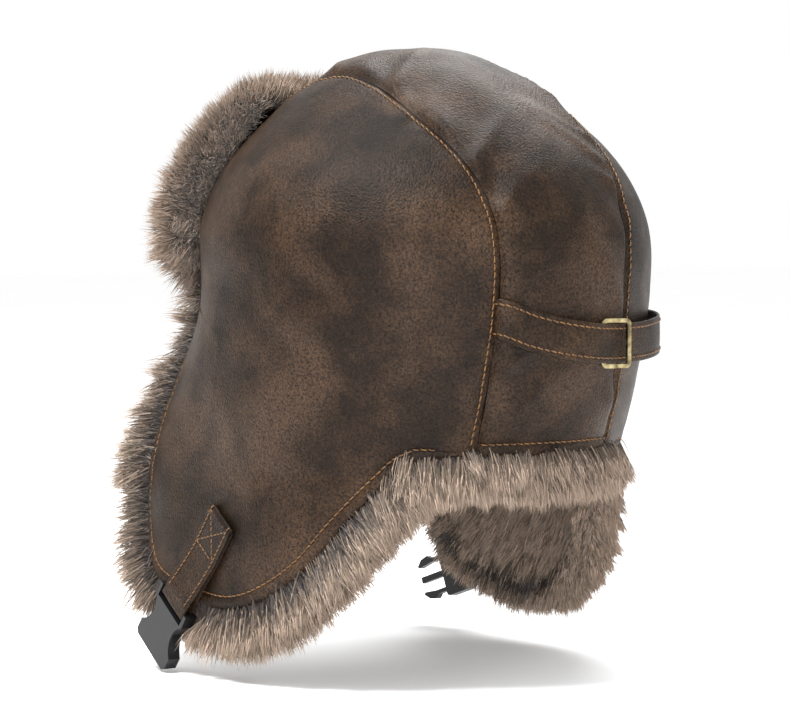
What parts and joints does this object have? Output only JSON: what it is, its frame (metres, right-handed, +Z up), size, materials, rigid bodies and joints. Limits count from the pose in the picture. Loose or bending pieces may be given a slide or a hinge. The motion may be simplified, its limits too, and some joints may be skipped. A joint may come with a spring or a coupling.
{
  "type": "trapper hat",
  "caption": "Trapper hat of faux leather with fur lining, folded front visor, ear flaps, rear adjuster strap and chin straps that close with a side release buckle.",
  "frame": {"origin": "centre of the head opening at the level where the ear flaps fold, where the hat sits on a head", "axes": "+Z up, -Y forwards (the way the wearer faces), +X to the wearer's left"},
  "size_m": [0.2137, 0.2379, 0.2851],
  "materials": {
    "leather": "distressed matte",
    "wadding": "matte",
    "lining": "matte",
    "fur": "long pile",
    "plastic": "satin moulded",
    "brass": "antique polished"
  },
  "bodies": {
    "crown": {"crown_centre_panel": "leather", "left_side_panel": "leather", "right_side_panel": "leather", "crown_padding": "wadding", "crown_lining": "lining", "nape_fur": "fur", "left_cheek_fur": "fur", "right_cheek_fur": "fur", "rear_adjuster_strap": "leather"},
    "slider": {"rear_slider": "brass"},
    "visor": {"visor_backing": "leather", "visor_padding": "wadding", "visor_fur": "fur"},
    "left_flap": {"left_flap_shell": "leather", "left_flap_padding": "wadding", "left_flap_fur": "fur", "left_strap_anchor": "leather"},
    "right_flap": {"right_flap_shell": "leather", "right_flap_padding": "wadding", "right_flap_fur": "fur", "right_strap_anchor": "leather"},
    "left_strap": {"left_chin_strap": "leather"},
    "right_strap": {"right_chin_strap": "leather"},
    "left_buckle": {"left_buckle_socket": "plastic"},
    "right_buckle": {"right_buckle_plug": "plastic"},
    "upper_arm": {"plug_arm_upper": "plastic"},
    "lower_arm": {"plug_arm_lower": "plastic"}
  },
  "joints": [
    {"name": "visor_fold", "type": "hinge", "parent": "crown", "child": "visor", "pos_m": [0, -0.1059, 0.0798], "axis": [1, 0, 0], "range_deg": [0, 105]},
    {"name": "left_flap_fold", "type": "hinge", "parent": "crown", "child": "left_flap", "pos_m": [0.099, 0, -0.0004], "axis": [0, -1, 0], "range_deg": [0, 140]},
    {"name": "left_strap_swing", "type": "hinge", "parent": "left_flap", "child": "left_strap", "pos_m": [0.09975, -0.03739, -0.0407], "axis": [0, -0.788, 0.6157], "range_deg": [0, 45]},
    {"name": "left_buckle_turn", "type": "hinge", "parent": "left_strap", "child": "left_buckle", "pos_m": [0.10204, -0.05457, -0.06269], "axis": [0, -0.788, 0.6157], "range_deg": [0, 30]},
    {"name": "right_flap_fold", "type": "hinge", "parent": "crown", "child": "right_flap", "pos_m": [-0.099, 0, -0.0004], "axis": [0, 1, 0], "range_deg": [0, 140]},
    {"name": "right_strap_swing", "type": "hinge", "parent": "right_flap", "child": "right_strap", "pos_m": [-0.09975, -0.04318, -0.04136], "axis": [0, 0.3746, -0.9272], "range_deg": [0, 45]},
    {"name": "right_buckle_turn", "type": "hinge", "parent": "right_strap", "child": "right_buckle", "pos_m": [-0.10475, -0.09955, -0.06414], "axis": [0, 0.3746, -0.9272], "range_deg": [0, 30]},
    {"name": "upper_arm_flex", "type": "hinge", "parent": "right_buckle", "child": "upper_arm", "pos_m": [-0.10075, -0.11504, -0.06134], "axis": [0.9578, 0.2664, 0.1076], "range_deg": [0, 9], "stiffness_Nm_per_rad": 0.03},
    {"name": "lower_arm_flex", "type": "hinge", "parent": "right_buckle", "child": "lower_arm", "pos_m": [-0.10075, -0.10874, -0.07691], "axis": [-0.9578, -0.2664, -0.1076], "range_deg": [0, 9], "stiffness_Nm_per_rad": 0.03},
    {"name": "slider_slide", "type": "slide", "parent": "crown", "child": "slider", "axis": [-0.9744, -0.225, 0], "range_m": [-0.008, 0.008]}
  ],
  "couplings": [
    {"joint": "lower_arm_flex", "follows": "upper_arm_flex", "ratio": 1}
  ]
}
